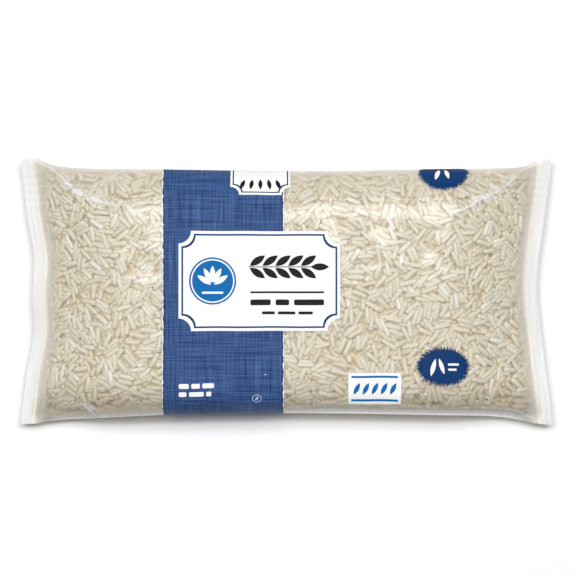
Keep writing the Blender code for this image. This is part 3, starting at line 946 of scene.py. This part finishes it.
def filmSoftness():
    slope = stoodOff["slope"] * fading(fromFar, stoodOff["slopeReach"], stoodOff["slopeFrom"]) * aboveFolds
    fold = stoodOff["fold"] * fading(fromFar, stoodOff["foldReach"]) * aboveFolds
    near = stoodOff["near"] * fading(fromNear, stoodOff["nearReach"]) * aboveFolds
    ends = stoodOff["end"] * fading(fromSeal, stoodOff["endReach"])
    corner = np.hypot(np.abs(webX) - filledHalf, webY - halfSpan)
    corner = stoodOff["corner"] * fading(corner, stoodOff["cornerReach"])
    inSeal = fading(fromSeal, 1.6 * mm, -0.6 * mm)
    clear = (1.0 - slope) * (1.0 - fold) * (1.0 - near) * (1.0 - ends) * (1.0 - corner) * (1.0 - inSeal)
    return (1.0 - clear) * smooth((fromSeal + 5.2 * mm) / (1.2 * mm))


# painted shade: darkest along the near fold and in the seals, and a little towards the ends
def filmShade():
    left, right = paintedShade["amount"]
    amount = left + (right - left) * smooth((webX + 40 * mm) / (60 * mm))
    shade = amount * (1.0 - (fromNear / paintedShade["reach"]).clip(0.0, 1.0)) * (1.0 - paintedShade["under"] * under)
    shade = shade + paintedShade["ends"] * fading(fromSeal, paintedShade["endReach"])
    return (shade + fading(fromSeal, 2.5 * mm, -1.0 * mm)).clip(0.0, 1.0)


# where rice shows faintly through the milky film beside the seals
def filmWarmth():
    warmth = smooth((fromSeal + 3.5 * mm) / (3.0 * mm)) * fading(fromSeal, 6 * mm, 5 * mm)
    return np.broadcast_to(warmth, webX.shape)


# where the film is loose enough to ruck: on the far shoulder, and towards the ends and folds
def filmSlack():
    atFolds = smooth((36 * mm - fromFar) / (10 * mm)) + smooth((16 * mm - fromNear) / (8 * mm))
    return (atFolds + smooth((34 * mm - fromSeal) / (16 * mm))).clip(0.0, 1.0)


# where the painted glow lights the strip along the near fold, away from the corners
def filmPaintedFoldGlow():
    facing = smooth((webNormal[:, :, 2] + 0.45) / 0.3)
    return nearStrip * facing * smooth((fromSeal - 4 * mm) / (12 * mm))


def buildFilm():
    fields = dict(
        milk=filmVeil(), soft=filmSoftness(), shade=filmShade(), slack=filmSlack(), paintedFoldGlow=filmPaintedFoldGlow(),
        warm=filmWarmth(), creaseAway=creaseAway, creaseFade=creaseFade, glareFade=glareFade,
    )
    bm, order = webGrid(rowCount, columnCount, list(fields))
    flatUv = bm.loops.layers.uv["web"]
    layers = [(bm.verts.layers.float[label], field) for label, field in fields.items()]
    for number, v in enumerate(order):
        i, j = divmod(number, columnCount)
        v.co = webFinal[i, j]
        for layer, field in layers:
            v[layer] = field[i, j]
        v.index = number
    for face in bm.faces:
        for loop in face.loops:
            i, j = divmod(loop.vert.index, columnCount)
            loop[flatUv].uv = (stations[i], flatAround[j])
    bmesh.ops.remove_doubles(bm, verts=bm.verts, dist=1e-7)
    piece = pieceFrom("clear_film", bm, filmMaterial())
    piece.data.set_sharp_from_angle(angle=math.radians(80))
    return piece


film = buildFilm()
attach(film, "root")
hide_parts("rice_bag")
print("film", len(film.data.polygons), "faces")

# Print lies on the film's outer face, each ink a thin skin a little above it. Sizes here are in
# millimetres, along the bag and across it as seen from above.
inks = dict(
    blue=(linenMaterial(), "blue_print"), sky=(inkMaterial("lightBlueInk", (0, 104, 174)), "blue_print"),
    navy=(inkMaterial("navyInk", (8, 56, 108)), "navy_print"),
    black=(inkMaterial("darkInk", (26, 24, 27)), "navy_print"),
    white=(inkMaterial("whiteInk", (248, 248, 248)), "white_print"),
    pale=(inkMaterial("paleInk", (176, 190, 214)), "white_print"),
)
prints = dict(
    band=(-63.6, -1.9), edge=0.5, fringe=0.35, edgeRough=0.12, bandRough=0.06,
    bandRows=(-55.5, -47.2), sign=(-15.2, -55.4), panel=(-55.6, 27.8, -20.2, 31.2), scoop=6.5,
    medal=(-38.0, 5.5, 12.2), tag=(32.0, 59.3, -58.0, -41.7), spot=(82.2, -38.3, 14.2, 9.6),
    backTab=(-28.9, 2.1, 50.0), backLength=62, backScoop=4.5, backSpot=(82.0, 54.0, 13.2, 12.0),
    lifts=(0.03, 0.07, 0.11, 0.15), labelLift=0.10, backLine=0.04,
)
first, second, third, top = prints["lifts"]


def onWeb(x, across, lift):
    row = np.interp(x, stations, np.arange(rowCount)).clip(0, rowCount - 1.001)
    column = np.interp(across, flatAround, np.arange(columnCount)).clip(0, columnCount - 1.001)
    i, j = row.astype(int), column.astype(int)
    u, v = (row - i)[:, None], (column - j)[:, None]
    spots = []
    for field in (webFinal, webNormal):
        near = field[i, j] * (1 - v) + field[i, j + 1] * v
        far = field[i + 1, j] * (1 - v) + field[i + 1, j + 1] * v
        spots.append(near * (1 - u) + far * u)
    return spots[0] + spots[1] * lift * mm


# distance round the web, from the middle of the front, of a place seen from above
def acrossAt(y):
    return float(np.interp(y * mm, webY[midRow, front], flatAround[front])) / mm


def finishPrint(name, bm, lift, ink):
    flatUv = bm.loops.layers.uv["web"]
    for face in bm.faces:
        for loop in face.loops:
            loop[flatUv].uv = loop.vert.co.xy
    flat = np.array([v.co[:] for v in bm.verts])
    for v, place in zip(bm.verts, onWeb(flat[:, 0], flat[:, 1], lift)):
        v.co = place
    bmesh.ops.remove_doubles(bm, verts=bm.verts, dist=1e-7)
    material, slotName = inks[ink]
    piece = pieceFrom("print_" + name, bm, material)
    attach(piece, "root")


# flat outlines are filled, cut along the web's own lines and wrapped with it
def printFlat(name, outlines, lift, ink):
    bm = bmesh.new()
    bm.loops.layers.uv.new("web")
    outlines = [[(x * mm, y * mm) for x, y in outline] for outline in outlines]
    for outline in outlines:
        bm.faces.new([bm.verts.new((x, y, 0.0)) for x, y in outline])
    bmesh.ops.recalc_face_normals(bm, faces=bm.faces)
    for face in bm.faces:
        if face.normal.z < 0:
            face.normal_flip()
    bmesh.ops.triangulate(bm, faces=bm.faces, ngon_method="EAR_CLIP")
    spots = np.array([point for outline in outlines for point in outline])
    for axis, lines in enumerate((stations, flatAround)):
        for line in lines[(lines > spots[:, axis].min()) & (lines < spots[:, axis].max())]:
            place, normal = Vector((0, 0, 0)), Vector((0, 0, 0))
            place[axis], normal[axis] = line, 1.0
            geometry = bm.verts[:] + bm.edges[:] + bm.faces[:]
            bmesh.ops.bisect_plane(bm, geom=geometry, dist=1e-7, plane_co=place, plane_no=normal)
    finishPrint(name, bm, lift, ink)


# the same for outlines on the front, given as they are seen from above
def printSeen(name, outlines, lift, ink):
    printFlat(name, [[(x, acrossAt(y)) for x, y in outline] for outline in outlines], lift, ink)


# a strip that runs right round the bag, with uneven edges
def printRound(name, low, high, rough, seed, lift, ink):
    low, high, rough = low * mm, high * mm, rough * mm
    random = np.random.default_rng(seed)
    inner = stations[(stations > low + 0.6 * mm) & (stations < high - 0.6 * mm)]
    lines = np.concatenate([[low], inner, [high]])
    bm, order = webGrid(len(lines), columnCount)
    uneven = random.normal(0.0, rough, (2, columnCount))
    uneven += rough * np.sin(np.arange(columnCount) * 0.9 + seed)
    uneven[:, -1] = uneven[:, 0]
    for number, v in enumerate(order):
        i, j = divmod(number, columnCount)
        edge = uneven[0, j] if i == 0 else uneven[1, j] if i == len(lines) - 1 else 0.0
        v.co = (lines[i] + edge, flatAround[j], 0.0)
    finishPrint(name, bm, lift, ink)


def arc(cx, cy, r, degrees):
    return [(cx + r * math.cos(math.radians(t)), cy + r * math.sin(math.radians(t))) for t in degrees]


def bar(x0, x1, y0, y1, bevel=0.25):
    r = min(x1 - x0, y1 - y0) * bevel
    corners = ((x1 - r, y1 - r, 0), (x0 + r, y1 - r, 90), (x0 + r, y0 + r, 180), (x1 - r, y0 + r, 270))
    return [spot for cx, cy, start in corners for spot in arc(cx, cy, r, range(start, start + 91, 30))]


# a label with its corners scooped out
def plaque(x0, x1, y0, y1, scoop, inset=0.0):
    x0, x1, y0, y1 = x0 + inset, x1 - inset, y0 + inset, y1 - inset
    corners = ((x1, y1, 270), (x0, y1, 360), (x0, y0, 90), (x1, y0, 180))
    return [
        spot for cx, cy, start in corners
        for spot in arc(cx, cy, scoop, [start - 11.25 * k for k in range(9)])
    ]


def disc(cx, cy, rx, ry, points=36, rough=0.0, seed=0):
    reach = 1.0 + np.random.default_rng(seed).uniform(-rough, rough, points)
    turns = [2 * math.pi * k / points for k in range(points)]
    return [(cx + rx * far * math.cos(t), cy + ry * far * math.sin(t)) for far, t in zip(reach, turns)]


def ringOf(outer, inner):
    count = len(outer)
    return [[outer[k], outer[(k + 1) % count], inner[(k + 1) % count], inner[k]] for k in range(count)]


# a simple grain: two arcs that meet in points
def grainMark(cx, cy, length, width, degrees):
    turn = math.radians(degrees)
    points = []
    for side in (1, -1):
        for k in range(7):
            t = side * (k / 3.5 - 1)
            x, y = t * length / 2, side * width / 2 * (1 - t * t)
            points.append((
                cx + x * math.cos(turn) - y * math.sin(turn), cy + x * math.sin(turn) + y * math.cos(turn),
            ))
    return points


# an ear of rice along a line: a thin stem with pairs of grains
def ear(x0, x1, y, count, length, width, lean):
    marks = [bar(x0, x1, y - 0.22, y + 0.22)]
    rise = length * 0.5 * math.sin(math.radians(lean)) + 0.5
    for k in range(count):
        x = x0 + (x1 - x0) / count * (k + 0.7)
        marks += [grainMark(x, y + rise, length, width, lean), grainMark(x, y - rise, length, width, -lean)]
    return marks + [grainMark(x1 + length * 0.4, y, length, width, 0)]


# short rows of plain bars, each row a list of lengths
def barRows(x, y, rows, height, gap, pitch):
    made = []
    for row, lengths in enumerate(rows):
        at = x
        for length in lengths:
            made.append(bar(at, at + length, y - row * pitch - height, y - row * pitch))
            at += length + gap
    return made


def buildBandPrint():
    x0, x1 = prints["band"]
    e, f, rough = prints["edge"], prints["fringe"], prints["edgeRough"]
    for side, x, inner, outer, seed in (("left", x0, 0.5, 0.8, 5), ("right", x1, 0.8, 0.5, 8)):
        printRound("fringe_" + side, x - e * 0.5 - f, x + e * 0.5 + f, rough, seed + 20, first, "white")
        printRound("edge_" + side, x - e * inner, x + e * outer, rough, seed, third, "navy")
    printRound("band", x0, x1, prints["bandRough"], 3, second, "blue")
    rows = barRows(*prints["bandRows"], ((5.2, 4.4, 6.0), (4.0, 7.6, 2.6)), 2.5, 1.3, 4.3)
    printFlat("band_rows", rows, top, "white")
    x, y = prints["sign"]
    ring = ringOf(disc(x, y, 2.5, 2.3, 24), disc(x, y, 2.1, 1.9, 24))
    printFlat("round_sign", ring + [grainMark(x, y, 2.9, 1.3, 60)], top, "pale")


# the front label: a medallion beside an ear of rice and plain rules
def buildLabel():
    panel, scoop = prints["panel"], prints["scoop"]
    under, ink, over = (lift + prints["labelLift"] for lift in (first, second, third))
    printSeen("label", [plaque(*panel, scoop)], under, "white")
    printSeen("label_line", ringOf(plaque(*panel, scoop, 1.5), plaque(*panel, scoop, 2.4)), ink, "navy")
    cx, cy, r = prints["medal"]
    printSeen("medal", [disc(cx, cy, r, r, 48)], ink, "sky")
    ring = ringOf(disc(cx, cy, r - 0.9, r - 0.9, 48), disc(cx, cy, r - 1.6, r - 1.6, 48))
    fan = []
    for degrees in (34, 62, 90, 118, 146):
        t = math.radians(degrees)
        fan.append(grainMark(cx + 5.2 * math.cos(t), cy - 3.4 + 7.0 * math.sin(t), 8.6, 2.7, degrees))
    fan.append(bar(cx - 5.5, cx + 5.5, cy - 6.6, cy - 5.5))
    printSeen("medal_grains", ring + fan, over, "white")
    printSeen("label_ear", ear(-19.5, 13.5, 12.8, 5, 9.6, 3.7, 34), ink, "black")
    rules = barRows(-18.5, 0.2, ((38.0,),), 1.0, 1.5, 6)
    rules += barRows(-18.5, -4.0, ((10.5, 7.0, 15.5),), 3.0, 2.5, 6)
    rules += barRows(-12.5, -10.2, ((6.6, 9.0, 7.4),), 1.5, 1.6, 4)
    printSeen("label_rules", rules, ink, "black")


def buildTag():
    x0, x1, y0, y1 = prints["tag"]
    printSeen("tag", [bar(x0, x1, y0, y1, 0.05)], first, "white")
    marks = [bar(x0 + 1.6, x1 - 1.6, y, y + 1.1) for y in (y1 - 2.6, y0 + 1.5)]
    marks += [grainMark(x0 + 4.4 + 4.7 * k, (y0 + y1) / 2, 7.0, 2.4, 62) for k in range(5)]
    printSeen("tag_marks", marks, second, "sky")


# a brushed spot: an uneven disc with short bristle strokes round it
def brushedSpot(cx, cy, rx, ry, seed):
    random = np.random.default_rng(seed)
    count = 110
    shapes = [disc(cx, cy, rx * 0.91, ry * 0.91, count, 0.04, seed)]
    for k in range(count):
        t = 2 * math.pi * (k + random.uniform(-0.4, 0.4)) / count
        x, y = cx + rx * 0.92 * math.cos(t), cy + ry * 0.92 * math.sin(t)
        slant = math.degrees(t) + random.uniform(-24, 24)
        shapes.append(grainMark(x, y, random.uniform(2.2, 4.4), random.uniform(0.40, 0.80), slant))
    return shapes


def buildSpot():
    x, y, rx, ry = prints["spot"]
    printSeen("spot", brushedSpot(x, y, rx, ry, 4), first, "navy")
    marks = [grainMark(x - 5.6, y - 0.4, 9.4, 2.5, 72), grainMark(x - 1.0, y + 0.2, 8.6, 2.3, 108)]
    marks += [bar(x + 2.6, x + 8.6, y + 0.6, y + 1.7), bar(x + 2.6, x + 7.2, y - 2.0, y - 0.9)]
    printSeen("spot_marks", marks, third, "white")


# what the back carries: a second label and spot, the tops of which show over the far fold
def buildBackPrint():
    x0, x1, y = prints["backTab"]
    start = acrossAt(y)
    tab = (x0, x1, start, start + prints["backLength"], prints["backScoop"])
    above = top + prints["backLine"]
    printFlat("back_label", [plaque(*tab)], top, "white")
    printFlat("back_line", ringOf(plaque(*tab, 1.1), plaque(*tab, 1.8)), above, "navy")
    middle = (x0 + x1) / 2
    marks = [grainMark(middle + k * 4.6, start + 6.2, 6.4, 2.2, 90 + 10 * k) for k in range(-2, 3)]
    for k in range(5):
        marks.append(bar(middle - 9, middle + 9, start + 22 + 6 * k, start + 23.4 + 6 * k))
    printFlat("back_marks", marks, above, "black")
    x, y, rx, ry = prints["backSpot"]
    middle = acrossAt(y) + ry * 0.8
    printFlat("back_spot", brushedSpot(x, middle, rx, ry, 9), first, "navy")
    marks = [grainMark(x - 3.4, middle - 1.5, 9.0, 2.4, 76)]
    marks += [grainMark(x + 1.6, middle - 1.2, 8.2, 2.2, 104)]
    printFlat("back_spot_marks", marks, third, "white")


buildBandPrint()
buildLabel()
buildTag()
buildSpot()
buildBackPrint()
print("print laid")

# The core under the loose grains
core = dict(depth=5.0 * mm, step=4, side=13.0 * mm, ends=9)


def buildCore():
    first = web["sealRows"] + core["ends"]
    last = rowCount - 1 - first
    rows = np.unique(np.concatenate([np.arange(first, last, core["step"]), [last]]))
    columns = np.unique(np.concatenate([np.arange(0, columnCount, core["step"]), [columnCount - 1]]))
    places = webPlace[np.ix_(rows, columns)]
    inner = places - webNormal[np.ix_(rows, columns)] * core["depth"]
    room = depthAt(inner.reshape(-1, 3))[0].reshape(inner.shape[:2])
    middle = places.copy()
    middle[:, :, 2] = (places[:, :, 2].min(axis=1) + places[:, :, 2].max(axis=1))[:, None] / 2
    middle[:, :, 1] = places[:, :, 1].clip(-halfSpan + core["side"], halfSpan - core["side"])
    share = smooth(room / core["depth"] * 1.1)[:, :, None]
    inner = inner * share + (places * 0.2 + middle * 0.8) * (1 - share)
    inner[[0, -1]] = middle[[0, -1]]
    bm, order = webGrid(len(rows), len(columns))
    for v, place in zip(order, inner.reshape(-1, 3)):
        v.co = place
    bmesh.ops.remove_doubles(bm, verts=bm.verts, dist=1e-6)
    return pieceFrom("rice_core", bm, coreMaterial())


coreMass = buildCore()
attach(coreMass, "root")

# Floor, lights and camera
studio = dict(
    floor=(0.92, 0.92, 0.92), floorRoughness=0.9, world=0.23,
    key=21.5, keySize=(1.40, 0.60), keyPlace=(-0.03, 0.38, 1.56),
    strip=5.8, stripSize=(1.30, 0.11), stripPlace=(0.0, 0.29, 1.56),  # narrow, for the film's glints
)


def aimAt(thing, target):
    thing.rotation_euler = (Vector(target) - thing.location).to_track_quat("-Z", "Y").to_euler()


def addLight(name, place, size, power):
    data = bpy.data.lights.new(name, "AREA")
    data.shape = "RECTANGLE"
    data.size, data.size_y = size
    data.energy = power
    light = bpy.data.objects.new(name, data)
    light.location = place
    bpy.context.scene.collection.objects.link(light)
    aimAt(light, (0.0, 0.0, 0.02))


def buildStudio():
    bm = bmesh.new()
    bmesh.ops.create_grid(bm, x_segments=2, y_segments=2, size=3.0)
    look = Look("paleFloor")
    pieceFrom("floor", bm, look.finish(look.shader("BsdfPrincipled", {
        "Base Color": (*studio["floor"], 1.0), "Roughness": studio["floorRoughness"],
        "Specular IOR Level": 0.0,
    })))
    world = bpy.data.worlds.new("studio")
    world.use_nodes = True
    world.node_tree.nodes["Background"].inputs[0].default_value = (1.0, 1.0, 1.0, 1.0)
    world.node_tree.nodes["Background"].inputs[1].default_value = studio["world"]
    bpy.context.scene.world = world
    addLight("key", studio["keyPlace"], studio["keySize"], studio["key"])
    addLight("strip", studio["stripPlace"], studio["stripSize"], studio["strip"])
    bpy.context.scene.view_settings.view_transform = "Standard"


camera = dict(distance=1.58, target=(0.0009, 0.0019, 0.020), across=0.3010)


def buildCamera():
    data = bpy.data.cameras.new("camera")
    data.sensor_width = 36.0
    data.lens = 36.0 * camera["distance"] / camera["across"]
    data.clip_start, data.clip_end = 0.05, 20.0
    thing = bpy.data.objects.new("camera", data)
    x, y, z = camera["target"]
    thing.location = (x, y, z + camera["distance"])
    bpy.context.scene.collection.objects.link(thing)
    bpy.context.scene.camera = thing


buildStudio()
buildCamera()
print("studio ready")
